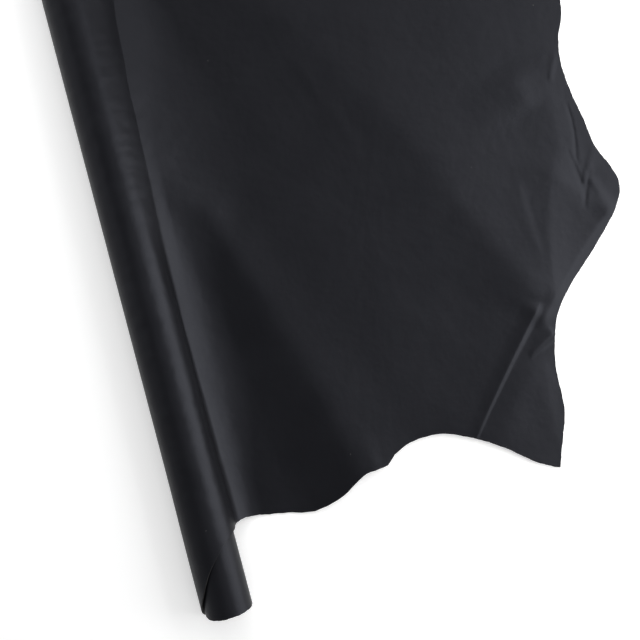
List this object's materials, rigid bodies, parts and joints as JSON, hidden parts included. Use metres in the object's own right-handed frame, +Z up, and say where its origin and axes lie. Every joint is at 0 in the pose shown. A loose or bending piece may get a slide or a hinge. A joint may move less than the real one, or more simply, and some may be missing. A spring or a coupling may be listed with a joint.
{
  "type": "double leather shoulder",
  "caption": "Black leather double shoulder hide, one side wound into a roll and the other spread flat beside it with an uneven cut outline.",
  "frame": {"origin": "on the floor, under the middle of the whole piece's bounding box", "axes": "+X from the roll to the free edge, +Y from the neck to the butt cut, along the roll, +Z up"},
  "size_m": [0.7392, 1, 0.0737],
  "materials": {
    "leather": "black, smooth fine grain, satin"
  },
  "bodies": {
    "root": {"shoulder_hide": "leather"}
  },
  "joints": []
}
